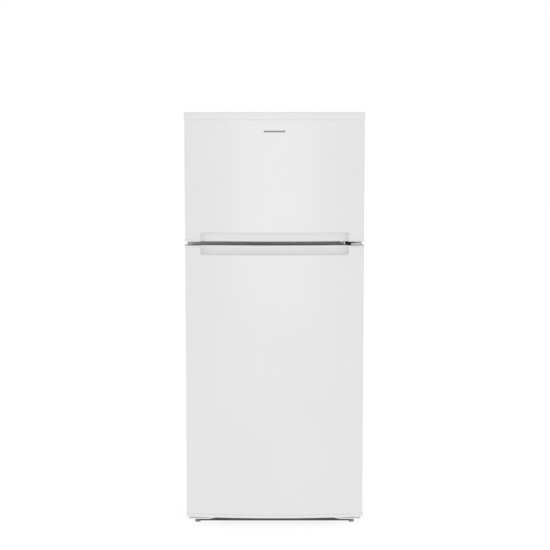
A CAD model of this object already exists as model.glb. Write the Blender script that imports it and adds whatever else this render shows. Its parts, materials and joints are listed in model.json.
"""Looks for a white top-freezer refrigerator: finishes, refined pieces, camera and light."""

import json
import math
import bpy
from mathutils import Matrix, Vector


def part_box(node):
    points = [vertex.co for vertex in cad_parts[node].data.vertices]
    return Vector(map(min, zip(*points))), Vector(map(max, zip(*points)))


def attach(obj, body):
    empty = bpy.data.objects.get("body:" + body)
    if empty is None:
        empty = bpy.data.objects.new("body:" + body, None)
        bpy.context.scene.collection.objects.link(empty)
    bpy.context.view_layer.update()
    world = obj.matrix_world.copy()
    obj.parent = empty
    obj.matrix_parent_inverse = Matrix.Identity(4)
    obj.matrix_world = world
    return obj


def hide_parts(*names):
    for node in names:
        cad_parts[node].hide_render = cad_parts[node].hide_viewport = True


bl_info = {
    "name": "Top-freezer refrigerator",
    "version": (1, 0, 0),
    "blender": (4, 5, 0),
    "location": "View3D > Sidebar > Refrigerator",
    "description": "Dresses the refrigerator's working frame with its real pieces and finishes",
    "category": "Object",
}

import bmesh
import bpy
from bpy.props import FloatProperty, FloatVectorProperty, IntProperty, PointerProperty
from mathutils import Matrix, Vector

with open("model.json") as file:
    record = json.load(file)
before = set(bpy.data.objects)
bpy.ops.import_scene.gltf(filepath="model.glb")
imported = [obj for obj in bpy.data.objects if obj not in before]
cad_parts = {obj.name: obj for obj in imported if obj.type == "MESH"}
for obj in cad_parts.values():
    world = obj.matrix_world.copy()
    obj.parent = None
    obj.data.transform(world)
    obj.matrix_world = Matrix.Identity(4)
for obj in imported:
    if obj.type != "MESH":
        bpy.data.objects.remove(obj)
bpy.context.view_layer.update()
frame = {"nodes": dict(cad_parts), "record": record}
MM = 0.001
FIT = 0.3 * MM  # clearance between neighbouring pieces
PAST = 20 * MM  # how far a cutter reaches past what it cuts


def node_box(node):
    """Lowest and highest corner of a frame node, as two vectors."""
    low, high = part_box(node)
    return Vector(low), Vector(high)


FREEZER_SKIN = node_box("freezer_door_skin")
FRIDGE_SKIN = node_box("fridge_door_skin")
DOOR_HALF = FREEZER_SKIN[1].x
DOOR_FACE = FREEZER_SKIN[0].y
DOOR_BACK = node_box("freezer_door_top_cap")[1].y
CABINET = node_box("cabinet_wrapper")
LINER_HALF = CABINET[1].x - 50 * MM
HINGE_PIN = Vector(
    next(
        joint["pos_m"]
        for joint in frame["record"]["behaviour"]["joints"]
        if joint["name"] == "fridge_door_hinge"
    )
)


# ------------------------------------------------------------------ settings
def length_setting(name, description, default):
    return FloatProperty(name=name, description=description, default=default, unit="LENGTH")


def strength_setting(name, description, default):
    return FloatProperty(name=name, description=description, default=default, min=0)


def count_setting(name, description, default, least):
    return IntProperty(name=name, description=description, default=default, min=least)


def srgb(code):
    """A #RRGGBB colour as linear red, green and blue."""
    values = [int(code[place : place + 2], 16) / 255 for place in (1, 3, 5)]
    return tuple(
        value / 12.92 if value <= 0.04045 else ((value + 0.055) / 1.055) ** 2.4
        for value in values
    )


def colour_setting(name, description, code):
    return FloatVectorProperty(
        name=name,
        description=description,
        subtype="COLOR",
        size=3,
        min=0,
        max=1,
        default=srgb(code),
    )


class RefrigeratorDoorSettings(bpy.types.PropertyGroup):
    bow: length_setting(
        "Bow", "How far the middle of a door stands in front of its sides", 27 * MM
    )
    corner_radius: length_setting(
        "Skin corner radius", "Radius at which the skin turns back along the door's side", 7 * MM
    )
    cap_edge: length_setting(
        "Cap edge radius", "Rounding of the moulded end caps' edges", 2.2 * MM
    )
    pull_half: length_setting("Pull half width", "Half the width of the recessed pulls", 291 * MM)
    pull_height: length_setting(
        "Pull height", "Height of each recessed pull at the door's face", 35.5 * MM
    )
    pull_depth: length_setting(
        "Pull depth", "Depth of each recessed pull behind the door's face", 24 * MM
    )
    pull_corner: length_setting(
        "Pull corner radius", "Rounding of the recessed pulls' outer corners", 10 * MM
    )
    facets: count_setting("Bow facets", "Strips across a door's bowed face", 56, 8)


class RefrigeratorInsideSettings(bpy.types.PropertyGroup):
    liner_radius: length_setting(
        "Liner corner radius", "Rounding inside the vacuum-formed liners", 20 * MM
    )
    bin_radius: length_setting(
        "Bin corner radius", "Rounding of the bins' and drawers' upright corners", 12 * MM
    )
    bin_wall: length_setting("Bin wall", "Wall thickness of the bins and drawers", 2.4 * MM)
    shelf_wires: count_setting(
        "Shelf wires", "Wires that run from front to back in the freezer's shelf", 29, 3
    )
    evaporator_fins: count_setting(
        "Evaporator fins", "Fins on the evaporator behind the freezer's back cover", 46, 4
    )


class RefrigeratorFinishSettings(bpy.types.PropertyGroup):
    enamel: colour_setting("Enamel", "Coil-coated white of the steel skins", "#E3E3E3")
    trim: colour_setting("Trim", "White of the moulded end caps", "#E4E4E3")
    liner: colour_setting("Liner", "Cool white of the vacuum-formed liners", "#EEF0F0")
    rail: colour_setting("Rail", "Grey of the rail between the compartments", "#DCDCDA")
    base: colour_setting("Base", "Charcoal of the toe grille", "#434343")
    seal: colour_setting("Seal", "Pale grey of the door seals", "#C9C9C7")
    land: colour_setting("Land", "Grey of the end caps' lands between the doors", "#D2D2D0")


class RefrigeratorStageSettings(bpy.types.PropertyGroup):
    lens: FloatProperty(
        name="Lens",
        description="Focal length of the camera, on a 36 mm wide sensor",
        default=94.8,
        subtype="DISTANCE_CAMERA",
    )
    distance: length_setting(
        "Camera distance", "From the camera to the doors' side edges", 5.642
    )
    height: length_setting("Camera height", "Above the floor", 1.643)
    pitch: FloatProperty(
        name="Camera pitch",
        description="How far the camera looks down",
        default=math.radians(6.30),
        unit="ROTATION",
    )
    backdrop: strength_setting("Backdrop", "Brightness of the white behind the object", 1.0)
    sky: strength_setting("Sky", "Strength of the even white light", 0.775)
    table: strength_setting("Table", "Strength of the light from below the opal table", 0.82)
    key: strength_setting("Key light", "Power of the large front light, in watts", 66)
    top: strength_setting("Top light", "Power of the overhead light, in watts", 18)


# ------------------------------------------------------------------ finishes
def add_node(tree, kind, inputs=None, **settings):
    """Add a node. An input is either a value or the socket that feeds it."""
    node = tree.nodes.new(kind)
    for name, value in settings.items():
        setattr(node, name, value)
    for name, value in (inputs or {}).items():
        if isinstance(value, bpy.types.NodeSocket):
            tree.links.new(value, node.inputs[name])
        else:
            node.inputs[name].default_value = value
    return node


def per_metre(size):
    """Texture scale at which one feature of a pattern is size metres across."""
    return 1 / size


def shader_of(finish):
    return finish.node_tree.nodes["Principled BSDF"]


def place_in(finish):
    """Where a point is on the object, for patterns that stay with it."""
    return add_node(finish.node_tree, "ShaderNodeTexCoord").outputs["Object"]


def new_finish(name, base, roughness, **more):
    """A material with its even values set on the shader's own sockets."""
    finish = bpy.data.materials.new(name)
    finish.use_nodes = True
    finish.diffuse_color = (*base, 1)
    sockets = shader_of(finish).inputs
    sockets["Base Color"].default_value = (*base, 1)
    sockets["Roughness"].default_value = roughness
    for socket, value in more.items():
        sockets[socket.replace("_", " ")].default_value = value
    return finish


def mottle(finish, size, spread, detail=3.0):
    """Let the base colour drift a little lighter and darker over patches of that size."""
    tree = finish.node_tree
    base = finish.diffuse_color[:3]
    noise = add_node(
        tree,
        "ShaderNodeTexNoise",
        {"Vector": place_in(finish), "Scale": per_metre(size), "Detail": detail},
    )
    ramp = add_node(tree, "ShaderNodeValToRGB", {"Fac": noise.outputs["Fac"]})
    dark, light = ramp.color_ramp.elements
    dark.position, light.position = 0.3, 0.7
    dark.color = (*[max(value - spread, 0) for value in base], 1)
    light.color = (*[min(value + spread, 1) for value in base], 1)
    tree.links.new(ramp.outputs["Color"], shader_of(finish).inputs["Base Color"])


def vary_roughness(finish, size, low, high):
    """Let the shine drift between two roughnesses over patches of that size."""
    noise = add_node(
        finish.node_tree,
        "ShaderNodeTexNoise",
        {"Vector": place_in(finish), "Scale": per_metre(size), "Detail": 4.0},
    )
    feed_roughness(finish, noise.outputs["Fac"], low, high, {"From Min": 0.3, "From Max": 0.7})


def feed_roughness(finish, pattern, low, high, span=None):
    """Spread a pattern over two roughnesses."""
    spread = add_node(
        finish.node_tree,
        "ShaderNodeMapRange",
        {"Value": pattern, "To Min": low, "To Max": high, **(span or {})},
    )
    finish.node_tree.links.new(spread.outputs["Result"], shader_of(finish).inputs["Roughness"])


def relief(finish, height, depth, under=None):
    """Feed a height pattern to the shader as bumps of that depth, in metres."""
    inputs = {"Height": height, "Distance": depth, "Strength": 1.0}
    if under:
        inputs["Normal"] = under.outputs["Normal"]
    bump = add_node(finish.node_tree, "ShaderNodeBump", inputs)
    finish.node_tree.links.new(bump.outputs["Normal"], shader_of(finish).inputs["Normal"])
    return bump


def pebble(finish, size, depth, detail=2.0, under=None):
    """Soft bumps of that size and depth all over."""
    noise = add_node(
        finish.node_tree,
        "ShaderNodeTexNoise",
        {"Vector": place_in(finish), "Scale": per_metre(size), "Detail": detail},
    )
    return relief(finish, noise.outputs["Fac"], depth, under)


def coil_coated_steel(looks):
    """Pre-painted steel sheet: polyester enamel, roller-coated and baked before bending."""
    # The eye gets an even white with a soft broad gloss, broken by the sheet's slow waves.
    finish = new_finish(
        "coil_coated_white_steel", looks.enamel, 0.34, Coat_Weight=0.25, Coat_Roughness=0.16
    )
    mottle(finish, 300 * MM, 0.006)
    vary_roughness(finish, 120 * MM, 0.30, 0.38)
    slow_waves = pebble(finish, 180 * MM, 0.6 * MM, 1.0)
    # Roller-coat orange peel is about 1.5 mm across, drawn at 5 mm so that it still shows.
    pebble(finish, 5 * MM, 0.02 * MM, under=slow_waves)
    return finish


def moulded_abs(looks):
    """Injection-moulded white ABS, spark-eroded to a fine satin grain."""
    # A touch warmer and softer in its shine than the enamel beside it.
    finish = new_finish("moulded_white_abs", looks.trim, 0.38, IOR=1.54)
    mottle(finish, 120 * MM, 0.006)
    vary_roughness(finish, 30 * MM, 0.34, 0.44)
    # Spark-erosion grain is about 0.2 mm, drawn at 1.2 mm.
    pebble(finish, 1.2 * MM, 0.03 * MM, 3.0)
    return finish


def formed_liner(looks):
    """Vacuum-formed high-impact polystyrene with a glossy cap layer."""
    # Cold, clean white whose reflections wobble where the sheet was stretched.
    finish = new_finish(
        "formed_white_polystyrene",
        looks.liner,
        0.30,
        IOR=1.59,
        Subsurface_Weight=0.04,
        Subsurface_Radius=(4 * MM, 4 * MM, 4 * MM),
        Subsurface_Scale=1.0,
    )
    mottle(finish, 200 * MM, 0.006)
    vary_roughness(finish, 80 * MM, 0.27, 0.33)
    pebble(finish, 60 * MM, 0.10 * MM)
    return finish


def grained_plastic(name, base, roughness, grain, depth, patch=50 * MM, spread=0.012):
    """Moulded plastic with an etched leather-like grain of that size."""
    finish = new_finish(name, base, roughness, IOR=1.49)
    mottle(finish, patch, spread)
    cells = add_node(
        finish.node_tree,
        "ShaderNodeTexVoronoi",
        {"Vector": place_in(finish), "Scale": per_metre(grain)},
        feature="SMOOTH_F1",
    )
    relief(finish, cells.outputs["Distance"], depth)
    return finish


def galvanised_sheet(looks):
    """Hot-dip galvanised steel: zinc crystals, each with its own grey and shine."""
    finish = new_finish("galvanised_steel_sheet", srgb("#A9ACAE"), 0.42, Metallic=1.0)
    tree = finish.node_tree
    place = place_in(finish)
    wander = add_node(
        tree,
        "ShaderNodeTexNoise",
        {"Vector": place, "Scale": per_metre(15 * MM), "Detail": 2.0},
    )
    bent = add_node(
        tree,
        "ShaderNodeMixRGB",
        {"Fac": 0.004, "Color1": place, "Color2": wander.outputs["Color"]},
        blend_type="LINEAR_LIGHT",
    )
    # Spangle crystals are 5 to 12 mm across, with edges that wander.
    spangle = add_node(
        tree,
        "ShaderNodeTexVoronoi",
        {"Vector": bent.outputs["Color"], "Scale": per_metre(7 * MM)},
    )
    grey = add_node(tree, "ShaderNodeValToRGB", {"Fac": spangle.outputs["Color"]})
    for element, code in zip(grey.color_ramp.elements, ("#9A9DA0", "#B4B7B9")):
        element.color = (*srgb(code), 1)
    tree.links.new(grey.outputs["Color"], shader_of(finish).inputs["Base Color"])
    feed_roughness(finish, spangle.outputs["Color"], 0.32, 0.52)
    return finish


def zinc_plated_screw(looks):
    """Bright zinc-plated screw steel, finely scratched by the driver."""
    finish = new_finish("zinc_plated_steel", srgb("#B4B6B8"), 0.30, Metallic=1.0)
    mottle(finish, 3 * MM, 0.05)
    vary_roughness(finish, 1.5 * MM, 0.22, 0.42)
    return finish


def enamelled_bracket(looks):
    """Pressed steel bracket under a thick white electrostatic powder coat."""
    finish = new_finish(
        "powder_coated_bracket_steel",
        srgb("#E4E4E1"),
        0.36,
        Coat_Weight=0.2,
        Coat_Roughness=0.25,
    )
    mottle(finish, 20 * MM, 0.012)
    # Powder coat flows out to bumps of about 1 mm, drawn at 1.5 mm.
    pebble(finish, 1.5 * MM, 0.05 * MM)
    return finish


def foamed_polyurethane(looks):
    """Rigid polyurethane foam: straw yellow, with open cells where it was cut."""
    finish = new_finish("rigid_polyurethane_foam", srgb("#D9C68F"), 0.92)
    mottle(finish, 30 * MM, 0.05)
    cells = add_node(
        finish.node_tree,
        "ShaderNodeTexVoronoi",
        {"Vector": place_in(finish), "Scale": per_metre(1.5 * MM)},
    )
    relief(finish, cells.outputs["Distance"], 0.4 * MM)
    return finish


def seal_vinyl(looks):
    """Extruded soft vinyl of the magnetic door seal, with a dull, faintly uneven skin."""
    finish = new_finish("extruded_soft_vinyl", looks.seal, 0.55, IOR=1.53)
    mottle(finish, 40 * MM, 0.02)
    pebble(finish, 2 * MM, 0.08 * MM, 3.0)
    return finish


def tempered_glass(looks):
    """Float glass, tempered: clear through its face, with a breath of sea green."""
    finish = new_finish(
        "tempered_float_glass",
        srgb("#F1F9F6"),
        0.02,
        IOR=1.52,
        Transmission_Weight=0.85,
        Alpha=0.42,
    )
    vary_roughness(finish, 100 * MM, 0.01, 0.04)
    mottle(finish, 250 * MM, 0.01)
    return finish


def clear_polystyrene(looks):
    """Crystal polystyrene drawer: clear, a little blue, with soft scuffs."""
    finish = new_finish(
        "crystal_polystyrene",
        srgb("#F8FBFC"),
        0.08,
        IOR=1.45,
        Transmission_Weight=0.80,
        Alpha=0.46,
    )
    mottle(finish, 60 * MM, 0.015)
    vary_roughness(finish, 25 * MM, 0.06, 0.20)
    return finish


def opal_diffuser(looks):
    """Opal polycarbonate lamp lens, which spreads the light."""
    finish = new_finish(
        "opal_polycarbonate", srgb("#F4F2EA"), 0.30, IOR=1.58, Transmission_Weight=0.35
    )
    mottle(finish, 20 * MM, 0.015)
    return finish


def stoved_black(looks):
    """Black stoving enamel on the compressor and the condenser, with small runs in it."""
    finish = new_finish("black_stoving_enamel", srgb("#1E1E20"), 0.34, Coat_Weight=0.15)
    mottle(finish, 15 * MM, 0.004)
    vary_roughness(finish, 8 * MM, 0.28, 0.46)
    pebble(finish, 4 * MM, 0.12 * MM)
    return finish


def mill_aluminium(looks):
    """Mill-finish aluminium fin stock with faint rolling lines."""
    finish = new_finish("mill_finish_aluminium", srgb("#C4C7CA"), 0.36, Metallic=1.0)
    lines = add_node(
        finish.node_tree,
        "ShaderNodeTexWave",
        {
            "Vector": place_in(finish),
            "Scale": per_metre(12 * MM),
            "Distortion": 2.0,
            "Detail": 2.0,
        },
        bands_direction="Z",
    )
    feed_roughness(finish, lines.outputs["Fac"], 0.28, 0.44)
    mottle(finish, 25 * MM, 0.03)
    return finish


def brushed_badge(looks):
    """Anodised aluminium name plate, brushed along its length."""
    finish = new_finish("brushed_anodised_aluminium", srgb("#747578"), 0.34, Metallic=1.0)
    along = add_node(
        finish.node_tree,
        "ShaderNodeMapping",
        {"Vector": place_in(finish), "Scale": (0.02, 1.0, 1.0)},
    )
    # Brush lines are about 0.1 mm apart, drawn at 0.6 mm.
    brush = add_node(
        finish.node_tree,
        "ShaderNodeTexNoise",
        {"Vector": along.outputs["Vector"], "Scale": per_metre(0.6 * MM), "Detail": 2.0},
    )
    relief(finish, brush.outputs["Fac"], 0.03 * MM)
    mottle(finish, 6 * MM, 0.02)
    return finish


def tempered_fibreboard(looks):
    """Dark oil-tempered hardboard of the machine compartment's cover."""
    finish = new_finish("tempered_hardboard", srgb("#4B4640"), 0.82)
    mottle(finish, 4 * MM, 0.02, 8.0)
    pebble(finish, 2.5 * MM, 0.2 * MM, 8.0)
    return finish


MAKERS = {
    # record slot: what makes its finish
    "white_enamelled_steel": coil_coated_steel,
    "white_moulded_plastic": moulded_abs,
    "liner_plastic": formed_liner,
    "grey_rail_plastic": lambda looks: grained_plastic(
        "grey_polypropylene", looks.rail, 0.50, 1.5 * MM, 0.05 * MM
    ),
    "land_plastic": lambda looks: grained_plastic(
        "grey_abs_land", looks.land, 0.55, 1.5 * MM, 0.05 * MM
    ),
    "dark_grille_plastic": lambda looks: grained_plastic(
        "charcoal_polypropylene", looks.base, 0.60, 1.5 * MM, 0.08 * MM
    ),
    "black_plastic": lambda looks: grained_plastic(
        "black_acetal", srgb("#101010"), 0.5, 1.2 * MM, 0.04 * MM, 20 * MM, 0.004
    ),
    "foot_plastic": lambda looks: grained_plastic(
        "grey_nylon", srgb("#828282"), 0.55, 1.2 * MM, 0.06 * MM, 20 * MM, 0.02
    ),
    "galvanised_steel": galvanised_sheet,
    "white_hinge_steel": enamelled_bracket,
    "rigid_foam": foamed_polyurethane,
    "seal_rubber": seal_vinyl,
    "shelf_glass": tempered_glass,
    "clear_styrene": clear_polystyrene,
    "compressor_enamel": stoved_black,
    "condenser_enamel": stoved_black,
    "fin_aluminium": mill_aluminium,
    "fibre_board": tempered_fibreboard,
    "lamp_diffuser": opal_diffuser,
    "badge_metal": brushed_badge,
    "screw_steel": zinc_plated_screw,
}
FINISHES = {}


def finish_of(slot):
    """The finish of that slot, made when the first piece asks for it."""
    if slot not in FINISHES:
        FINISHES[slot] = MAKERS[slot](bpy.context.scene.refrigerator_finish)
    return FINISHES[slot]


# ------------------------------------------------------------------ modelling
def smooth(piece):
    piece.data.shade_smooth()
    piece.data.set_sharp_from_angle(angle=math.radians(35))


def object_from(name, mesh):
    """Turn a bmesh into an object, with its faces facing out."""
    bmesh.ops.recalc_face_normals(mesh, faces=mesh.faces)
    data = bpy.data.meshes.new(name)
    mesh.to_mesh(data)
    mesh.free()
    made = bpy.data.objects.new(name, data)
    bpy.context.scene.collection.objects.link(made)
    return made


def piece_from(name, mesh, body, slot, node=None):
    """A finished piece that rides on a body of the frame, and may stand for a node."""
    piece = object_from(name, mesh)
    piece.data.materials.append(finish_of(slot))
    smooth(piece)
    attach(piece, body)
    if node:
        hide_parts(node)
    return piece


def loft(rows, rings=True, around=False, caps=False):
    """Faces over rows of points. rings closes each row, around joins the last to the first."""
    mesh = bmesh.new()
    grid = [[mesh.verts.new(point) for point in row] for row in rows]
    bands = list(zip(grid, grid[1:]))
    if around:
        bands.append((grid[-1], grid[0]))
    for first, second in bands:
        count = len(first)
        for here in range(count if rings else count - 1):
            beyond = (here + 1) % count
            mesh.faces.new((first[here], first[beyond], second[beyond], second[here]))
    if caps:
        mesh.faces.new(grid[0])
        mesh.faces.new(grid[-1])
    return mesh


def rounded_rectangle(low, high, radius, steps=5):
    """Corners (u, v) of a rectangle with rounded corners, once round from the lower right."""
    radius = max(min(radius, (high[0] - low[0]) / 2.001, (high[1] - low[1]) / 2.001), 1e-5)
    centres = (
        (high[0] - radius, low[1] + radius),
        (high[0] - radius, high[1] - radius),
        (low[0] + radius, high[1] - radius),
        (low[0] + radius, low[1] + radius),
    )
    points = []
    for corner, (u, v) in enumerate(centres):
        for step in range(steps + 1):
            angle = (corner - 1 + step / steps) * math.pi / 2
            points.append((u + radius * math.cos(angle), v + radius * math.sin(angle)))
    return points


def quarter(radius, steps=4):
    """How far a rounded edge has still to go out, and has gone up, at each step."""
    for step in range(steps + 1):
        angle = step * math.pi / 2 / steps
        yield radius * (1 - math.sin(angle)), radius * (1 - math.cos(angle))


def quarter_back(radius, steps=4):
    return reversed(list(quarter(radius, steps)))


def ring(span, radius, inset, level, plane="XZ"):
    """One row of a loft: a rounded rectangle drawn in from its span, at that level."""
    low, high = span
    outline = rounded_rectangle(
        (low[0] + inset, low[1] + inset),
        (high[0] - inset, high[1] - inset),
        max(radius - inset, 0.4 * MM),
    )
    if plane == "XY":
        return [(u, v, level) for u, v in outline]
    return [(u, level, v) for u, v in outline]


def bar(low, high, radius, steps=2):
    """A block with all its edges rounded."""
    mesh = bmesh.new()
    middle = (Vector(low) + Vector(high)) / 2
    size = Vector(high) - Vector(low)
    place = Matrix.Translation(middle) @ Matrix.Diagonal((*size, 1))
    bmesh.ops.create_cube(mesh, size=1, matrix=place)
    if radius:
        bmesh.ops.bevel(
            mesh,
            geom=list(mesh.edges),
            offset=min(radius, min(size) * 0.45),
            segments=steps,
            affect="EDGES",
            profile=0.5,
        )
    return mesh


def merged(*meshes):
    """Several bmeshes gathered into the first of them."""
    whole = meshes[0]
    for mesh in meshes[1:]:
        data = bpy.data.meshes.new("part")
        mesh.to_mesh(data)
        mesh.free()
        whole.from_mesh(data)
        bpy.data.meshes.remove(data)
    return whole


def tube(route, radius, sides, closed=False):
    """A round wire along a route of points."""
    points = [Vector(point) for point in route]
    count = len(points)
    normal = None
    rows = []
    for place, point in enumerate(points):
        before = points[place - 1] if place or closed else point
        after = points[(place + 1) % count] if place < count - 1 or closed else point
        along = (after - before).normalized()
        if normal is None:
            normal = along.orthogonal().normalized()
        normal = (normal - along * normal.dot(along)).normalized()
        side = along.cross(normal)
        turns = [turn * 2 * math.pi / sides for turn in range(sides)]
        rows.append(
            [point + radius * (math.cos(turn) * normal + math.sin(turn) * side) for turn in turns]
        )
    return loft(rows, around=closed, caps=not closed)


def turned(profile, place, steps, axis="Z"):
    """A closed shape turned from (radius, height) pairs about an axis through place."""
    rows = []
    for radius, height in profile:
        row = []
        for step in range(steps):
            angle = step * 2 * math.pi / steps
            u, v = radius * math.cos(angle), radius * math.sin(angle)
            spot = {"Y": (u, height, v), "Z": (u, v, height)}[axis]
            row.append(Vector(place) + Vector(spot))
        rows.append(row)
    return loft(rows, caps=True)


def settle(piece):
    """Make a piece's modifiers part of its mesh."""
    graph = bpy.context.evaluated_depsgraph_get()
    made = bpy.data.meshes.new_from_object(piece.evaluated_get(graph))
    piece.modifiers.clear()
    old = piece.data
    piece.data = made
    bpy.data.meshes.remove(old)
    smooth(piece)


def combine(piece, operation, meshes):
    """Weld bmeshes to a piece or cut them out of it, and leave no tool behind."""
    tools = [object_from("tool", mesh) for mesh in meshes]
    for tool in tools:
        step = piece.modifiers.new("combine", "BOOLEAN")
        step.operation = operation
        step.object = tool
    settle(piece)
    for tool in tools:
        bpy.data.objects.remove(tool)


def cut(piece, *meshes):
    combine(piece, "DIFFERENCE", meshes)


def thicken(piece, thickness, inside, inwards=True):
    """Make a skin into a sheet, on the side that faces a point inside it or on the other."""
    widest = max(piece.data.polygons, key=lambda face: face.area)
    facing_in = widest.normal.dot(inside - widest.center) > 0
    sheet = piece.modifiers.new("sheet", "SOLIDIFY")
    sheet.thickness = thickness
    sheet.offset = 1 if facing_in == inwards else -1
    settle(piece)


def round_edges(piece, width, segments=2):
    """Round what is still sharp, with a modifier that leaves the mesh alone."""
    rounding = piece.modifiers.new("rounded edges", "BEVEL")
    rounding.width = width
    rounding.segments = segments
    rounding.limit_method = "ANGLE"
    rounding.angle_limit = math.radians(40)
    rounding.harden_normals = True


SCREW_FLANGE = [(1.35, -0.4 * MM), (1.35, 0.5 * MM), (1.2, 0.9 * MM)]
SCREW_HEAD = [(1, 0.7 * MM), (1, 2.2 * MM), (0.86, 2.7 * MM), (0.5, 2.7 * MM), (0.42, 2.2 * MM)]
FORWARDS, BACKWARDS = -1, 1


def screws(name, places, way, radius):
    """Hexagon heads on round flanges, facing forwards or backwards."""
    heads = [
        turned([(radius * share, rise * way) for share, rise in profile], place, sides, "Y")
        for place in places
        for profile, sides in ((SCREW_FLANGE, 24), (SCREW_HEAD, 6))
    ]
    piece_from(name, merged(*heads), "cabinet", "screw_steel")


# ------------------------------------------------------------------ door shapes
def door_front(x):
    """Where a door's face is at this x."""
    return DOOR_FACE + bpy.context.scene.refrigerator_door.bow * (x / DOOR_HALF) ** 2


def door_outline(out=0.0, front=0.0, back=DOOR_BACK):
    """A door from above, left to right, moved out at the sides and the front."""
    sizes = bpy.context.scene.refrigerator_door
    half = DOOR_HALF + out
    radius = max(sizes.corner_radius + out, 1 * MM)
    turn_x = half - radius
    face = door_front(turn_x) - front
    corner = [(half - rise, face + inset) for inset, rise in quarter(radius, 8)]
    across = [turn_x * (1 - 2 * step / sizes.facets) for step in range(1, sizes.facets)]
    right_to_left = corner + [(x, door_front(x) - front) for x in across]
    right_to_left += [(-x, y) for x, y in reversed(corner)]
    return [(-half, back), *reversed(right_to_left), (half, back)]


def pull_stations(half, corner):
    """Places along a pull, closer together where its corners turn."""
    turn = [half - corner + corner * math.sin(step * math.pi / 16) for step in range(9)]
    middle = [(half - corner) * (2 * step / 48 - 1) for step in range(1, 48)]
    return [-x for x in reversed(turn)] + middle + turn


def pull_solid(end, inward, half, corner, profile):
    """A bar along the bow whose height falls off round its corners.

    The profile holds (depth, height, keep) with keep 1 where the height follows the corner.
    """
    rows = []
    for x in pull_stations(half, corner):
        past = max(abs(x) - (half - corner), 0)
        drop = corner - math.sqrt(max(corner**2 - past**2, 0))
        face = door_front(x)
        rows.append(
            [
                (x, face + depth, end + inward * (height - keep * drop))
                for depth, height, keep in profile
            ]
        )
    return loft(rows, caps=True)


def pin_bore(low, high, radius=5 * MM):
    return turned([(radius, low), (radius, high)], (HINGE_PIN.x, HINGE_PIN.y, 0), 24)


# ------------------------------------------------------------------ operators
class REFRIGERATOR_OT_stage(bpy.types.Operator):
    """Camera, floor and soft studio light"""

    bl_idname = "refrigerator.stage"
    bl_label = "Stage"

    def execute(self, context):
        settings = context.scene.refrigerator_stage
        self.place_camera(context, settings)
        self.light_sky(context, settings)
        self.lay_table(settings)
        self.add_light("front_light", settings.key, (0, -6.9, 0.8), (0, 0, 0.8), (2.6, 4.0))
        self.add_light("top_light", settings.top, (0, -0.8, 4.6), (0, -0.6, 0), (4.0, 4.0))
        return {"FINISHED"}

    def place_camera(self, context, settings):
        camera = bpy.data.objects.new("camera", bpy.data.cameras.new("camera"))
        context.scene.collection.objects.link(camera)
        camera.data.sensor_width = 36
        camera.data.lens = settings.lens
        camera.data.clip_end = 60
        side_edges = DOOR_FACE + context.scene.refrigerator_door.bow
        aside = 1.8 * MM
        camera.location = (aside, side_edges - settings.distance, settings.height)
        camera.rotation_euler = (math.radians(90) - settings.pitch, 0, 0)
        context.scene.camera = camera

    def light_sky(self, context, settings):
        """One white for what the camera sees, and another for the light it gives."""
        world = bpy.data.worlds.new("even_white_sky")
        world.use_nodes = True
        background = world.node_tree.nodes["Background"]
        background.inputs["Color"].default_value = (1, 1, 1, 1)
        seen = add_node(world.node_tree, "ShaderNodeLightPath").outputs["Is Camera Ray"]
        strength = add_node(
            world.node_tree,
            "ShaderNodeMapRange",
            {"Value": seen, "To Min": settings.sky, "To Max": settings.backdrop},
        )
        world.node_tree.links.new(strength.outputs["Result"], background.inputs["Strength"])
        context.scene.world = world
        context.scene.view_settings.view_transform = "Standard"

    def lay_table(self, settings):
        """A table top lit from below, so what stands on it throws only a faint shadow."""
        opal = new_finish(
            "backlit_opal_table",
            srgb("#858585"),
            0.9,
            Specular_IOR_Level=0.1,
            Emission_Color=(1, 1, 1, 1),
            Emission_Strength=settings.table,
        )
        mottle(opal, 500 * MM, 0.002)
        rows = [[(-15, y, 0), (15, y, 0)] for y in (-9, 0, 20)]
        table = object_from("studio_floor", loft(rows, rings=False))
        table.data.materials.append(opal)
        table.data.shade_smooth()

    def add_light(self, name, power, place, aim, size):
        light = bpy.data.lights.new(name, "AREA")
        light.energy = power
        light.shape = "RECTANGLE"
        light.size, light.size_y = size
        lamp = bpy.data.objects.new(name, light)
        lamp.location = place
        way = Vector(aim) - Vector(place)
        lamp.rotation_euler = way.to_track_quat("-Z", "Y").to_euler()
        bpy.context.scene.collection.objects.link(lamp)


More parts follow.
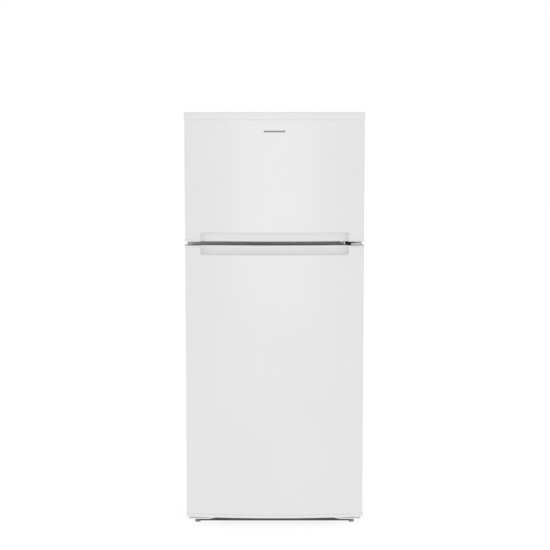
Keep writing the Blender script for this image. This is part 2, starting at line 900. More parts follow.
class REFRIGERATOR_OT_cabinet(bpy.types.Operator):
    """Folded steel wrapper, pressed back panel and the front rail's screws"""

    bl_idname = "refrigerator.cabinet"
    bl_label = "Cabinet"

    def execute(self, context):
        low, high = CABINET
        front, return_flange = low.y + 0.1 * MM, 10 * MM
        rows = [self.arch(return_flange, front)]
        rows += [self.arch(inset, front + rise) for inset, rise in quarter(1.5 * MM)]
        rows.append(self.arch(0, high.y))
        wrapper = piece_from(
            "cabinet_steel_wrapper",
            loft(rows, rings=False),
            "cabinet",
            "white_enamelled_steel",
            "cabinet_wrapper",
        )
        thicken(wrapper, 0.9 * MM, Vector((0, 0, (low.z + high.z) / 2)))
        self.back_panel()
        rail_low, rail_high = node_box("mullion_rail")
        middle = (rail_low.z + rail_high.z) / 2
        places = [(x * MM, rail_low.y, middle) for x in (-268, -90, 90)]
        screws("mullion_screws", places, FORWARDS, 3.2 * MM)
        return {"FINISHED"}

    def arch(self, inset, y):
        """The wrapper's outline from one foot over the top to the other."""
        low, high = CABINET
        half, top = high.x - inset, high.z - inset
        radius = max(5 * MM - inset, 0.5 * MM)
        turn = [(half - rise, top - short) for short, rise in quarter(radius, 6)]
        right_up = [(half, low.z), *turn]
        return [(x, y, z) for x, z in right_up] + [(-x, y, z) for x, z in reversed(right_up)]

    def back_panel(self):
        """Beads pressed into the flat sheet, and the screws round its edge."""
        low, high = node_box("cabinet_back_panel")
        half_width, height, sink = 9 * MM, 2.4 * MM, 0.3 * MM
        end, steps = 70 * MM, 24
        beads = []
        for x in (-230 * MM, -115 * MM, 0, 115 * MM, 230 * MM):
            rows = []
            for step in range(steps + 1):
                z = low.z + end + (high.z - low.z - 2 * end) * step / steps
                swell = min(step, steps - step, 1)
                wide = half_width * (0.25 + 0.75 * swell)
                tall = height * (0.1 + 0.9 * swell)
                turns = [turn * math.pi / 8 for turn in range(9)]
                rows.append(
                    [
                        (x + wide * math.cos(turn), high.y - sink + tall * math.sin(turn), z)
                        for turn in turns
                    ]
                )
            beads.append(loft(rows, caps=True))
        piece_from("back_panel_beads", merged(*beads), "cabinet", "galvanised_steel")
        side, end = high.x - 9 * MM, 30 * MM
        pitch = (high.z - low.z - 2 * end) / 5
        places = [(x, high.y, low.z + end + pitch * row) for x in (-side, side) for row in range(6)]
        screws("back_panel_screws", places, BACKWARDS, 3.6 * MM)


class REFRIGERATOR_OT_liners(bpy.types.Operator):
    """Vacuum-formed liners of both compartments, with their shelf rails"""

    bl_idname = "refrigerator.liners"
    bl_label = "Compartment liners"

    def execute(self, context):
        cover_low, cover_high = node_box("freezer_back_cover")
        drawer_low, drawer_high = node_box("crisper_left")
        ceiling = node_box("control_housing")[1].z
        fridge = (-LINER_HALF, drawer_low.z - FIT), (LINER_HALF, ceiling + FIT)
        freezer = (-LINER_HALF, cover_low.z - FIT), (LINER_HALF, cover_high.z + FIT)
        step = drawer_high.y + 14 * MM, node_box("crisper_cover_frame")[0].z - FIT
        self.liner(context, "fridge_liner", fridge, step)
        self.liner(context, "freezer_liner", freezer)
        self.rails()
        return {"FINISHED"}

    def liner(self, context, node, mouth, step=None):
        """A flange, a rounded mouth, the hollow behind it and a rounded back."""
        radius = context.scene.refrigerator_inside.liner_radius
        low, high = node_box(node)
        front, back = low.y + 0.1 * MM, high.y - 2 * MM
        rows = [ring(((low.x, low.z), (high.x, high.z)), 2 * MM, 0, front)]
        rows += [ring(mouth, radius, -inset, front + rise) for inset, rise in quarter(3 * MM)]
        if step:
            rows += self.floor_step(mouth, radius, *step)
            mouth = ((mouth[0][0], step[1]), mouth[1])
        rows += [ring(mouth, radius, inset, back - rise) for inset, rise in quarter_back(radius, 5)]
        shell = loft(rows)
        shell.verts.ensure_lookup_table()
        shell.faces.new(shell.verts[-len(rows[0]) :])
        liner = piece_from(f"{node}_shell", shell, "cabinet", "liner_plastic", node)
        middle = Vector((0, 0, (mouth[0][1] + mouth[1][1]) / 2))
        thicken(liner, 1.9 * MM, middle, inwards=False)

    def floor_step(self, mouth, radius, at, to):
        """Rows that take the floor up over the machine compartment."""
        (left, floor), top = mouth
        path = [(at - inset, floor + rise) for inset, rise in quarter(14 * MM)]
        path += [(at + rise, to - inset) for inset, rise in quarter(12 * MM)]
        return [ring(((left, z), top), radius, 0, y) for y, z in path]

    def rails(self):
        """Ribs on both walls that carry the shelves, with spare levels between them."""
        levels = []
        for node in ("upper_shelf_frame", "lower_shelf_frame", "crisper_cover_frame", "freezer_shelf"):
            low, high = node_box(node)
            back = node_box("crisper_left")[1].y if node == "crisper_cover_frame" else high.y - 8 * MM
            levels.append((low.z - FIT, low.y + 12 * MM, back))
        low, high = node_box("upper_shelf_frame")
        levels += [(z * MM, low.y + 12 * MM, high.y - 8 * MM) for z in (448, 692, 940)]
        reach, root, height = LINER_HALF - 8.6 * MM, LINER_HALF + 0.8 * MM, 8 * MM
        rails = []
        for z, front, back in levels:
            for near, far in ((-root, -reach), (reach, root)):
                rails.append(bar((near, front, z - height), (far, back, z), 3 * MM, 3))
        piece_from("liner_shelf_rails", merged(*rails), "cabinet", "liner_plastic")


class REFRIGERATOR_OT_door_skins(bpy.types.Operator):
    """Bowed steel skins, notched for the recessed pulls"""

    bl_idname = "refrigerator.door_skins"
    bl_label = "Door skins"

    def execute(self, context):
        for door, (low, high), end, inward in (
            ("freezer_door", FREEZER_SKIN, node_box("freezer_door_bottom_cap")[0].z, 1),
            ("fridge_door", FRIDGE_SKIN, node_box("fridge_door_top_cap")[1].z, -1),
        ):
            path = door_outline(back=high.y)
            rows = [[(x, y, z) for x, y in path] for z in (low.z, high.z)]
            skin = piece_from(
                f"{door}_steel_skin",
                loft(rows, rings=False),
                door,
                "white_enamelled_steel",
                f"{door}_skin",
            )
            thicken(skin, 1 * MM, Vector((0, high.y, (low.z + high.z) / 2)))
            self.notch(skin, context.scene.refrigerator_door, end, inward)
        return {"FINISHED"}

    def notch(self, skin, sizes, end, inward):
        top, behind = sizes.pull_height + FIT, 30 * MM
        profile = [(-PAST, top, 1), (behind, top, 1), (behind, -behind, 0), (-PAST, -behind, 0)]
        cut(skin, pull_solid(end, inward, sizes.pull_half + FIT, sizes.pull_corner, profile))


class REFRIGERATOR_OT_door_caps(bpy.types.Operator):
    """Moulded end caps, two of them with a recessed pull"""

    bl_idname = "refrigerator.door_caps"
    bl_label = "Door end caps"

    def execute(self, context):
        sizes = context.scene.refrigerator_door
        self.pull_cap("freezer_door", "freezer_door_bottom_cap", 1, sizes)
        self.pull_cap("fridge_door", "fridge_door_top_cap", -1, sizes)
        self.sill_cap(sizes)
        self.crown_cap(sizes)
        return {"FINISHED"}

    def cap(self, door, name, node, low, high, under, over):
        """A flat cap whose outline is a door's, with edges rounded under and over."""
        node_low, node_high = node_box("freezer_door_top_cap")
        out, front = node_high.x - DOOR_HALF, DOOR_FACE - node_low.y
        steps = [(inset, low + rise) for inset, rise in quarter(under)]
        steps += [(inset, high - rise) for inset, rise in quarter_back(over)]
        rows = []
        for inset, level in steps:
            outline = door_outline(out - inset, front - inset, DOOR_BACK - inset)
            rows.append([(x, y, level) for x, y in outline])
        return piece_from(name, loft(rows, caps=True), door, "white_moulded_plastic", node)

    def sill_cap(self, sizes):
        """The thin cap under the fridge door."""
        node = "fridge_door_bottom_cap"
        low, high = node_box(node)
        edges = sizes.cap_edge, 0.6 * MM
        sill = self.cap("fridge_door", "fridge_door_sill_cap", node, low.z, high.z, *edges)
        cut(sill, pin_bore(low.z - 5 * MM, low.z + 10 * MM))

    def crown_cap(self, sizes):
        """The tall cap on top, hollowed for the hinge and left open as a tray."""
        node = "freezer_door_top_cap"
        low, high = node_box(node)
        edges = 0.5 * MM, sizes.cap_edge * 1.6
        crown = self.cap("freezer_door", "freezer_door_crown_cap", node, low.z, high.z, *edges)
        wall = 5 * MM
        front, floor, over = DOOR_FACE + sizes.bow + wall, CABINET[1].z + 1 * MM, high.z + PAST
        hinge_end, tray_end = HINGE_PIN.x - 40 * MM, HINGE_PIN.x - 50 * MM
        hinge_room = bar(
            (hinge_end, front, floor), (high.x + 30 * MM, DOOR_BACK + 30 * MM, over), 2 * MM, 3
        )
        tray = bar((wall - DOOR_HALF, front, floor), (tray_end, DOOR_BACK - wall, over), 4 * MM, 3)
        cut(crown, hinge_room, tray, pin_bore(low.z + 2 * MM, high.z))

    def pull_cap(self, door, node, inward, sizes):
        """A plate over the door's end, and behind it the pull and the finger groove."""
        low, high = node_box(node)
        end = low.z if inward > 0 else high.z
        plate = sorted((end, end + inward * 6 * MM))
        cap = self.cap(door, f"{node}_moulding", node, *plate, 0.8 * MM, 0.8 * MM)
        wall, lip, groove, groove_top = 3 * MM, 6 * MM, 20 * MM, 24 * MM
        depth, height = sizes.pull_depth, sizes.pull_height
        near, far = depth + lip, depth + lip + groove
        shell = [(0, 1 * MM, 0), (0, height, 1), (depth / 2, height + wall, 1)]
        shell += [(far + lip, height + wall, 1), (far + lip, 1 * MM, 0)]
        block = pull_solid(end, inward, sizes.pull_half, sizes.pull_corner, shell)
        combine(cap, "UNION", [block])
        boss = sorted((end + inward * 3 * MM, end + inward * 18 * MM))
        combine(cap, "UNION", [pin_bore(*boss, 10 * MM)])

        turns = [step * math.pi / 24 for step in range(12)]
        cove = [(-PAST, height - FIT, 1)]
        cove += [(depth * math.sin(turn), (height - FIT) * math.cos(turn), 1) for turn in turns]
        cove += [(depth, 0, 0), (depth, -PAST, 0), (-PAST, -PAST, 0)]
        channel = [(near, -PAST, 0), (near, groove_top, 1), (far, groove_top, 1), (far, -PAST, 0)]
        half, corner = sizes.pull_half - 2.2 * MM, sizes.pull_corner - 2 * MM
        cut(
            cap,
            pull_solid(end, inward, half, corner, cove),
            pull_solid(end, inward, sizes.pull_half - 2 * wall, 4 * MM, channel),
            pin_bore(*sorted((end - inward * PAST, end + inward * 15 * MM))),
        )
        self.grey_lands(cap, end, (near, far), groove_top, sizes)

    def grey_lands(self, cap, end, groove, groove_top, sizes):
        """Give the end face and the inside of the finger groove their own grey."""
        cap.data.materials.append(finish_of("land_plastic"))
        slack = 0.2 * MM
        for face in cap.data.polygons:
            x, y, z = face.center
            rise = abs(z - end)
            flat = rise < 0.1 * MM and abs(face.normal.z) > 0.9
            in_groove = groove[0] - slack < y - door_front(x) < groove[1] + slack
            deep = rise < groove_top + slack and abs(x) < sizes.pull_half - 5 * MM
            face.material_index = int(flat or (in_groove and deep))


class REFRIGERATOR_OT_door_liners(bpy.types.Operator):
    """Formed inner panels of the doors and their magnetic seals"""

    bl_idname = "refrigerator.door_liners"
    bl_label = "Door liners and seals"

    def execute(self, context):
        half, margin = LINER_HALF - 8 * MM, 5.7 * MM
        cover_low, cover_high = node_box("freezer_back_cover")
        floor, ceiling = node_box("crisper_left")[0].z, node_box("control_housing")[1].z
        for door, bottom, top in (
            ("freezer_door", cover_low.z, cover_high.z),
            ("fridge_door", floor, ceiling),
        ):
            self.panel(door, ((-half, bottom + margin), (half, top - margin)))
            self.seal(door)
        return {"FINISHED"}

    def panel(self, door, ridge):
        """A flat sheet with a hollow ridge all round the place of the bins."""
        low, high = node_box(f"{door}_liner")
        width, radius = 26 * MM, 22 * MM
        face = high.y
        sheet = face - 26 * MM
        edge = (low.x, low.z), (high.x, high.z)
        rows = [
            ring(edge, 5 * MM, 0, sheet - 2 * MM),
            ring(edge, 5 * MM, 0, sheet - 0.5 * MM),
            ring(edge, 5 * MM, 0.5 * MM, sheet),
        ]
        path = [(-inset, sheet + 3 * MM - rise) for inset, rise in quarter(3 * MM)]
        path += [(inset, face - rise) for rise, inset in quarter(6 * MM)]
        path += [(width - inset, face - rise) for inset, rise in quarter(5 * MM)]
        path += [(width + inset, sheet + rise) for rise, inset in quarter(5 * MM)]
        rows += [ring(ridge, radius, inset, y) for inset, y in path]
        piece_from(
            f"{door}_inner_panel", loft(rows, caps=True), door, "liner_plastic", f"{door}_liner"
        )

    def seal(self, door):
        """A hollow bellows section that runs all round the door."""
        low, high = node_box(f"{door}_gasket")
        back, front = low.y, high.y
        pleats = (
            (2, back),
            (0.4, back + 1.2 * MM),
            (3.2, back + 3.6 * MM),
            (0.6, back + 6.2 * MM),
            (0, front - 1.4 * MM),
            (0.8, front),
            (19.2, front),
            (20, front - 1.4 * MM),
            (19.4, back + 6.2 * MM),
            (16.8, back + 3.6 * MM),
            (19.6, back + 1.2 * MM),
            (18, back),
        )
        span = (low.x, low.z), (high.x, high.z)
        rows = [ring(span, 9 * MM, inset * MM, y) for inset, y in pleats]
        piece_from(
            f"{door}_magnetic_seal",
            loft(rows, around=True),
            door,
            "seal_rubber",
            f"{door}_gasket",
        )


class REFRIGERATOR_OT_badge(bpy.types.Operator):
    """A plain brushed plate on the freezer door"""

    bl_idname = "refrigerator.badge"
    bl_label = "Badge"

    def execute(self, context):
        low, high = node_box("freezer_door_badge")
        half, half_height = high.x, 3.0 * MM
        middle = (low.z + high.z) / 2 - 1 * MM
        foot, shoulder, crown = 0.1 * MM, 0.7 * MM, 1.0 * MM
        rows = []
        for share in range(33):
            x = half * math.sin((share / 32 - 0.5) * math.pi)
            past = max(abs(x) - (half - half_height), 0)
            tall = max(math.sqrt(max(half_height**2 - past**2, 0)), 0.3 * MM)
            upwards = [(foot, 1), (shoulder, 1), (crown, 0.86)]
            profile = [(out, -keep) for out, keep in upwards] + upwards[::-1]
            face = door_front(x)
            rows.append([(x, face - out, middle + tall * keep) for out, keep in profile])
        piece_from(
            "freezer_door_plain_badge",
            loft(rows, caps=True),
            "freezer_door",
            "badge_metal",
            "freezer_door_badge",
        )
        return {"FINISHED"}


class REFRIGERATOR_OT_bins(bpy.types.Operator):
    """Door bins, the dairy compartment, the crisper drawers and the drip pan"""

    bl_idname = "refrigerator.bins"
    bl_label = "Bins and drawers"

    def execute(self, context):
        sizes = context.scene.refrigerator_inside
        for node, body, slot in (
            ("freezer_door_lower_bin", "freezer_door", "clear_styrene"),
            ("freezer_door_upper_bin", "freezer_door", "clear_styrene"),
            ("fridge_door_bottle_bin", "fridge_door", "clear_styrene"),
            ("fridge_door_middle_bin", "fridge_door", "clear_styrene"),
            ("dairy_bin", "fridge_door", "white_moulded_plastic"),
        ):
            tub = self.tub(*node_box(node), sizes.bin_radius, sizes.bin_wall, 3 * MM)
            piece_from(f"{node}_tub", tub, body, slot, node)
        for node in ("crisper_left", "crisper_right"):
            self.drawer(node, sizes)
        pan = self.tub(*node_box("drip_pan"), 8 * MM, 2 * MM, 4 * MM)
        piece_from("drip_pan_tray", pan, "cabinet", "dark_grille_plastic", "drip_pan")
        round_edges(frame["nodes"]["dairy_door"], 0.9 * MM)
        return {"FINISHED"}

    def drawer(self, node, sizes):
        """A tub with a ledge across its front, and a lip under it for the fingers."""
        low, high = node_box(node)
        front, reach = low.y, 70 * MM
        low.y += 8 * MM
        tub = self.tub(low, high, sizes.bin_radius, sizes.bin_wall, 3 * MM)
        left, right = (low.x + high.x) / 2 - reach, (low.x + high.x) / 2 + reach
        ledge = bar(
            (left, front, high.z - 34 * MM), (right, low.y + 2.6 * MM, high.z - 28 * MM), 2.6 * MM, 4
        )
        lip = bar(
            (left, front, high.z - 40 * MM), (right, front + 2.6 * MM, high.z - 29 * MM), 1.2 * MM, 3
        )
        piece_from(f"{node}_drawer", merged(tub, ledge, lip), node, "clear_styrene", node)

    def tub(self, low, high, radius, wall, draft):
        """An open tub whose walls lean in by draft, with a rolled rim and a rounded floor."""
        rise, foot, top = high.z - low.z, 5 * MM, high.z
        path = [(draft + inset, low.z + up) for inset, up in quarter(foot)]
        for share, inset in ((0.5, 0.8 * MM), (0.52, 0.2 * MM), (0.93, 0.9 * MM)):
            path.append((inset + draft * (1 - share), low.z + rise * share))
        path += [
            (0.9 * MM, top - 4.6 * MM),
            (0, top - 4.2 * MM),
            (0, top - 0.8 * MM),
            (0.5 * MM, top),
            (wall + 0.4 * MM, top),
            (wall + 0.9 * MM, top - 0.6 * MM),
        ]
        path += [(draft + wall + inset, low.z + wall + up) for inset, up in quarter_back(foot)]
        span = (low.x, low.y), (high.x, high.y)
        return loft([ring(span, radius, inset, z, "XY") for inset, z in path], caps=True)


class REFRIGERATOR_OT_shelves(bpy.types.Operator):
    """Glass shelves in moulded frames and the freezer's wire shelf"""

    bl_idname = "refrigerator.shelves"
    bl_label = "Shelves"

    def execute(self, context):
        for name in ("upper_shelf", "lower_shelf", "crisper_cover"):
            self.framed_shelf(name)
        self.wire_shelf(context.scene.refrigerator_inside.shelf_wires)
        return {"FINISHED"}

    def framed_shelf(self, name):
        low, high = node_box(f"{name}_frame")
        seat = node_box(f"{name}_glass")[0].z - FIT
        section = (
            (0, low.z + 1.6 * MM),
            (1.6, low.z),
            (16, low.z),
            (16, seat),
            (12.1, seat),
            (12.1, high.z - 0.6 * MM),
            (11.4, high.z),
            (1.8, high.z),
            (0.5, high.z - 0.6 * MM),
            (0, high.z - 1.8 * MM),
        )
        span = (low.x, low.y), (high.x, high.y)
        rows = [ring(span, 6 * MM, inset * MM, z, "XY") for inset, z in section]
        piece_from(
            f"{name}_moulded_frame",
            loft(rows, around=True),
            "cabinet",
            "white_moulded_plastic",
            f"{name}_frame",
        )
        round_edges(frame["nodes"][f"{name}_glass"], 0.5 * MM)

    def wire_shelf(self, count):
        """Thin wires over thicker cross wires, inside a bent rim."""
        low, high = node_box("freezer_shelf")
        rim, cross, thin = 3 * MM, 1.8 * MM, 1.5 * MM
        left, right, front, back = low.x + rim, high.x - rim, low.y + rim, high.y - rim
        middle = (low.z + high.z) / 2
        edge = rounded_rectangle((left, front), (right, back), 14 * MM, 6)
        wires = [tube([(x, y, middle) for x, y in edge], rim, 12, closed=True)]
        for number in range(1, count + 1):
            x = left + (right - left) * number / (count + 1)
            over = high.z - thin
            wires.append(tube([(x, front, over), (x, back, over)], thin, 8))
        for share in (0.25, 0.5, 0.75):
            y = low.y + (high.y - low.y) * share
            under = low.z + cross
            wires.append(tube([(left, y, under), (right, y, under)], cross, 8))
        piece_from(
            "freezer_wire_shelf", merged(*wires), "cabinet", "white_hinge_steel", "freezer_shelf"
        )


class REFRIGERATOR_OT_controls(bpy.types.Operator):
    """Control housing with its lamp, temperature dial and light switch"""

    bl_idname = "refrigerator.controls"
    bl_label = "Controls and lamp"

    def execute(self, context):
        low, high = node_box("control_housing")
        dial_low, dial_high = node_box("temperature_dial")
        dial = (dial_low + dial_high) / 2
        button_low, button_high = node_box("light_switch_button")
        button = (button_low + button_high) / 2
        lamp_low, lamp_high = node_box("lamp_cover")
        housing = piece_from(
            "control_housing_shell",
            bar(low, high, 9 * MM, 5),
            "cabinet",
            "white_moulded_plastic",
            "control_housing",
        )
        lamp_room = bar(
            (lamp_low.x - FIT, lamp_low.y - FIT, low.z - PAST),
            (lamp_high.x + FIT, lamp_high.y + FIT, lamp_high.z + FIT),
            2 * MM,
            3,
        )
        cut(
            housing,
            self.bore(dial, low.y, 4 * MM, 14 * MM),
            self.bore(button, low.y, 5.5 * MM, 30 * MM),
            lamp_room,
        )
        self.ticks(dial, low.y)
        self.dial(dial, dial_low.y, low.y)
        self.lamp(lamp_low, lamp_high)
        round_edges(frame["nodes"]["light_switch_button"], 0.8 * MM)
        return {"FINISHED"}

    def bore(self, centre, front, radius, depth):
        profile = [(radius, front - PAST), (radius, front + depth)]
        return turned(profile, (centre.x, 0, centre.z), 24, "Y")

    def ticks(self, centre, front):
        """Nine marks round the dial, with the first, middle and last longer."""
        thin, proud, near = 0.6 * MM, 0.6 * MM, 21 * MM
        ticks = []
        for number in range(9):
            far = near + (4.2 * MM if number % 4 == 0 else 2.6 * MM)
            tick = bar((-thin, front - 0.5 * MM, near), (thin, front + proud, far), 0.25 * MM)
            turn = Matrix.Rotation(math.radians(30 * number - 120), 4, "Y")
            spot = Matrix.Translation((centre.x, 0, centre.z)) @ turn
            bmesh.ops.transform(tick, matrix=spot, verts=tick.verts)
            ticks.append(tick)
        piece_from("dial_ticks", merged(*ticks), "cabinet", "grey_rail_plastic")

    def dial(self, centre, grip_front, front):
        """A fluted knob with a raised grip and a pointer line."""
        flutes, steps = 36, 144
        rows = []
        for radius, ahead in (
            (3, -12),
            (3, 0.5),
            (17.6, 0.5),
            (18.8, 1.2),
            (18.8, 7.6),
            (17.6, 9),
            (4, 9.2),
        ):
            row = []
            for step in range(steps):
                angle = step * 2 * math.pi / steps
                flute = 0.35 * math.cos(flutes * angle) if radius > 18 else 0
                reach = (radius + flute) * MM
                x, z = centre.x + reach * math.cos(angle), centre.z + reach * math.sin(angle)
                row.append((x, front - ahead * MM, z))
            rows.append(row)
        grip = bar(
            (centre.x - 3.2 * MM, grip_front, centre.z - 16 * MM),
            (centre.x + 3.2 * MM, front - 8 * MM, centre.z + 16 * MM),
            1.6 * MM,
            4,
        )
        knob = merged(loft(rows, caps=True), grip)
        body = "temperature_dial"
        piece_from("temperature_knob", knob, body, "white_moulded_plastic", "temperature_dial")
        line = bar(
            (centre.x - 0.6 * MM, grip_front - 0.2 * MM, centre.z + 4 * MM),
            (centre.x + 0.6 * MM, grip_front + 0.5 * MM, centre.z + 14 * MM),
            0.2 * MM,
        )
        piece_from("temperature_pointer", line, body, "grey_rail_plastic")

    def lamp(self, low, high):
        """An opal lens with the ribs that spread the light."""
        lens = [bar(low, high, 5 * MM, 4)]
        ribs, half, proud, end = 15, 1.4 * MM, 1 * MM, 6 * MM
        for number in range(1, ribs + 1):
            x = low.x + (high.x - low.x) * number / (ribs + 1)
            near, far = (x - half, low.y + end, low.z - proud), (x + half, high.y - end, low.z + proud)
            lens.append(bar(near, far, 0.9 * MM, 3))
        piece_from("lamp_lens", merged(*lens), "cabinet", "lamp_diffuser", "lamp_cover")


class REFRIGERATOR_OT_ironwork(bpy.types.Operator):
    """Hinges, foot brackets, levelling feet, rollers and the toe grille"""

    bl_idname = "refrigerator.ironwork"
    bl_label = "Hinges and feet"

    def execute(self, context):
        for node, width in (
            ("top_hinge", 0.6),
            ("top_hinge_cover", 0.5),
            ("middle_hinge", 0.7),
            ("middle_hinge_stop", 1.2),
            ("bottom_hinge", 0.8),
            ("left_foot_bracket", 0.8),
            ("toe_grille", 0.5),
            ("compressor_base", 0.4),
            ("cord_gland", 0.6),
        ):
            round_edges(frame["nodes"][node], width * MM)
        for side in ("left", "right"):
            self.foot(side)
            self.roller(side)
        low, high = node_box("middle_hinge")
        flange_face = high.y - 3 * MM
        place = (low.x + 9 * MM, flange_face, (low.z + high.z) / 2)
        screws("middle_hinge_screw", [place], FORWARDS, 3.2 * MM)
        return {"FINISHED"}

    def foot(self, side):
        """A moulded pad, ribbed for the fingers, on a threaded stem."""
        low, high = node_box(f"{side}_foot")
        x, y = (low.x + high.x) / 2, (low.y + high.y) / 2
        pad = (high.x - low.x) / 2 / MM
        profile = [(pad - 1.2, 0), (pad, 1.0), (pad, 6.6), (pad - 1.4, 8.2), (5.4, 9.4)]
        profile += [(4.2 + 0.7 * (turn % 2), 11.0 + 0.75 * turn) for turn in range(37)]
        profile.append((3.4, 38.6))
        steps = 48
        rows = []
        for radius, level in profile:
            row = []
            for step in range(steps):
                angle = step * 2 * math.pi / steps
                rib = 0.35 if radius > 10.5 and step % 4 < 2 else 0
                reach = (radius - rib) * MM
                row.append((x + reach * math.cos(angle), y + reach * math.sin(angle), level * MM))
            rows.append(row)
        piece_from(
            f"{side}_levelling_foot",
            loft(rows, caps=True),
            f"{side}_foot",
            "foot_plastic",
            f"{side}_foot",
        )

    def roller(self, side):
        """A wheel with a crowned tread and a bore for its axle."""
        low, high = node_box(f"{side}_roller")
        place = (low + high) / 2
        half, radius, bore, web = (high.x - low.x) / 2, (high.z - low.z) / 2, 3.6 * MM, 2 * MM
        left = [
            (bore, -half),
            (6 * MM, -half),
            (7 * MM, web - half),
            (radius - 4 * MM, web - half),
            (radius - 3 * MM, -half),
            (radius - 1 * MM, 0.3 * MM - half),
            (radius, web - half),
        ]
        section = left + [(reach, -along) for reach, along in reversed(left)]
        turns = [step * math.pi / 20 for step in range(40)]
        rows = []
        for reach, along in section:
            rows.append(
                [
                    place + Vector((along, reach * math.cos(turn), reach * math.sin(turn)))
                    for turn in turns
                ]
            )
        piece_from(
            f"{side}_rear_wheel",
            loft(rows, around=True),
            f"{side}_roller",
            "foot_plastic",
            f"{side}_roller",
        )


class REFRIGERATOR_OT_cooling(bpy.types.Operator):
    """Compressor, condenser, evaporator and their covers"""

    bl_idname = "refrigerator.cooling"
    bl_label = "Cooling system"

    def execute(self, context):
        self.compressor()
        self.condenser_wires()
        self.evaporator(context.scene.refrigerator_inside.evaporator_fins)
        self.covers()
        for node, width in (("evaporator_fan_motor", 0.8), ("freezer_back_cover", 0.6)):
            round_edges(frame["nodes"][node], width * MM)
        return {"FINISHED"}

    def compressor(self):
        """A welded can with a seam round its waist, on a plate with four rubber feet."""
        low, high = node_box("compressor")
        x, y = (low.x + high.x) / 2, (low.y + high.y) / 2
        wall = [(30, 62.5), (52, 68), (68, 80), (76, 100), (78, 126), (82, 129), (82, 139)]
        dome = [(78, 141), (76, 170), (72, 186), (62, 198), (46, 206), (26, 210.5), (6, 211.8)]
        can = turned([(reach * MM, level * MM) for reach, level in wall + dome], (x, y, 0), 48)
        plate = bar((low.x, y - 60 * MM, 58 * MM), (high.x, y + 60 * MM, 64 * MM), 2 * MM)
        relay = bar(
            (x - 24 * MM, y - 81.5 * MM, 96 * MM), (x + 24 * MM, y - 62 * MM, 146 * MM), 4 * MM, 3
        )
        foot = [(9 * MM, low.z + rise * MM) for rise in (0, 6)]
        foot += [(6.5 * MM, low.z + 9 * MM), (9 * MM, low.z + 12 * MM), (9 * MM, 58.5 * MM)]
        feet = [
            turned(foot, (x + across * MM, y + along * MM, 0), 20)
            for across in (-74, 74)
            for along in (-46, 46)
        ]
        whole = merged(can, plate, relay, *feet)
        piece_from("compressor_can", whole, "cabinet", "compressor_enamel", "compressor")

    def condenser_wires(self):
        """Upright wires on both sides of the coil, by turns."""
        low, high = node_box("condenser_coil")
        middle, end, count = (low.y + high.y) / 2, 22 * MM, 38
        wires = []
        for number in range(count):
            x = low.x + end + (high.x - low.x - 2 * end) * number / (count - 1)
            y = middle + (3.6 if number % 2 else -3.6) * MM
            wires.append(tube([(x, y, low.z + 2 * MM), (x, y, high.z + 4 * MM)], 0.8 * MM, 6))
        piece_from("condenser_wires", merged(*wires), "cabinet", "condenser_enamel")

    def evaporator(self, fins):
        """Thin fins on two layers of tubes, between end plates."""
        low, high = node_box("evaporator")
        end, half = 12 * MM, 0.3 * MM
        parts = []
        for number in range(fins):
            x = low.x + end + (high.x - low.x - 2 * end) * number / (fins - 1)
            near = x - half, low.y + 3 * MM, low.z + 6 * MM
            parts.append(bar(near, (x + half, high.y - 2 * MM, high.z - 6 * MM), 0))
        for row in range(6):
            z = low.z + 18 * MM + row * 33.5 * MM
            for y in (low.y + 15 * MM, high.y - 13 * MM):
                parts.append(tube([(low.x + 3 * MM, y, z), (high.x - 3 * MM, y, z)], 4 * MM, 10))
        for x in (low.x + 4 * MM, high.x - 4 * MM):
            parts.append(bar((x - 1 * MM, low.y, low.z), (x + 1 * MM, high.y, high.z), 0.4 * MM, 1))
        piece_from(
            "evaporator_fins_and_tubes", merged(*parts), "cabinet", "fin_aluminium", "evaporator"
        )

    def covers(self):
        """Louvres and stiffening ribs on the freezer's cover, screws on the machine cover."""
        low, high = node_box("freezer_back_cover")
        fan_low, fan_high = node_box("evaporator_fan_blade")
        middle, half, root = (fan_low.z + fan_high.z) / 2, 42 * MM, low.y + 0.6 * MM
        hoods = []
        for index in range(-3, 4):
            z = middle + index * 12 * MM + 3 * MM
            hoods.append(bar((-half, low.y - 3.6 * MM, z), (half, root, z + 2.4 * MM), 1 * MM, 3))
        for near, far in ((-158, -150), (150, 158)):
            lower = near * MM, low.y - 2.5 * MM, low.z + 40 * MM
            hoods.append(bar(lower, (far * MM, root, high.z - 40 * MM), 1.2 * MM, 3))
        piece_from("freezer_cover_louvres", merged(*hoods), "cabinet", "liner_plastic")
        low, high = node_box("machine_cover")
        levels = low.z + 12 * MM, high.z - 10 * MM
        places = [(x * MM, high.y, z) for x in (-335, -112, 112, 335) for z in levels]
        screws("machine_cover_screws", places, BACKWARDS, 3.6 * MM)


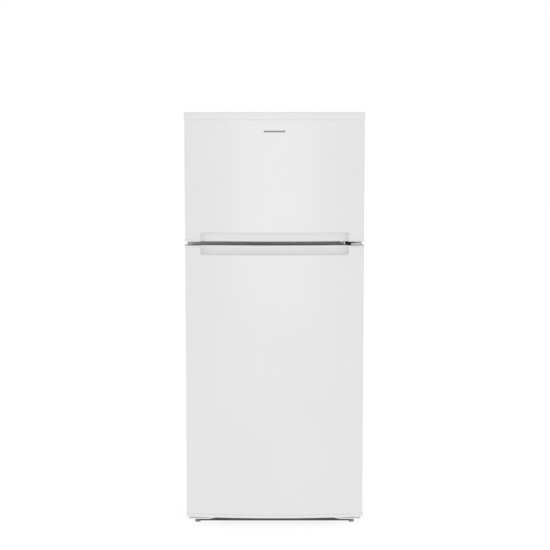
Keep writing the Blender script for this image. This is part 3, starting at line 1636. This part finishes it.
class REFRIGERATOR_OT_finishes(bpy.types.Operator):
    """Finish for every frame piece that is still shown"""

    bl_idname = "refrigerator.finishes"
    bl_label = "Finishes"

    def execute(self, context):
        slots = {part["node"]: part["material_slot"] for part in frame["record"]["subparts"]}
        for name, node in frame["nodes"].items():
            if node.hide_render:
                continue
            node.data.materials.clear()
            node.data.materials.append(finish_of(slots[name]))
            weld = node.modifiers.new("joined corners", "WELD")
            weld.merge_threshold = 0.01 * MM
            node.modifiers.move(len(node.modifiers) - 1, 0)
            node.data.shade_smooth()
            if len(node.modifiers) == 1:
                round_edges(node, 0.3 * MM, 1)
        return {"FINISHED"}


class REFRIGERATOR_PT_panel(bpy.types.Panel):
    """Lists the refrigerator's pieces and their settings"""

    bl_label = "Top-freezer refrigerator"
    bl_idname = "REFRIGERATOR_PT_panel"
    bl_space_type = "VIEW_3D"
    bl_region_type = "UI"
    bl_category = "Refrigerator"

    def draw(self, context):
        for name, group in SETTINGS.items():
            column = self.layout.box().column()
            for setting in group.__annotations__:
                column.prop(getattr(context.scene, name), setting)
        for operator in OPERATORS:
            self.layout.operator(operator.bl_idname)


SETTINGS = {
    "refrigerator_door": RefrigeratorDoorSettings,
    "refrigerator_inside": RefrigeratorInsideSettings,
    "refrigerator_finish": RefrigeratorFinishSettings,
    "refrigerator_stage": RefrigeratorStageSettings,
}
OPERATORS = [
    REFRIGERATOR_OT_stage,
    REFRIGERATOR_OT_cabinet,
    REFRIGERATOR_OT_liners,
    REFRIGERATOR_OT_door_skins,
    REFRIGERATOR_OT_door_caps,
    REFRIGERATOR_OT_door_liners,
    REFRIGERATOR_OT_badge,
    REFRIGERATOR_OT_bins,
    REFRIGERATOR_OT_shelves,
    REFRIGERATOR_OT_controls,
    REFRIGERATOR_OT_ironwork,
    REFRIGERATOR_OT_cooling,
    REFRIGERATOR_OT_finishes,
]


def register():
    for made in (*SETTINGS.values(), *OPERATORS, REFRIGERATOR_PT_panel):
        bpy.utils.register_class(made)
    for name, group in SETTINGS.items():
        setattr(bpy.types.Scene, name, PointerProperty(type=group))


def unregister():
    for name in SETTINGS:
        delattr(bpy.types.Scene, name)
    for made in (REFRIGERATOR_PT_panel, *reversed(OPERATORS), *SETTINGS.values()):
        bpy.utils.unregister_class(made)


def main():
    register()
    for operator in OPERATORS:
        group, name = operator.bl_idname.split(".")
        getattr(getattr(bpy.ops, group), name)()


if __name__ == "__main__":
    main()
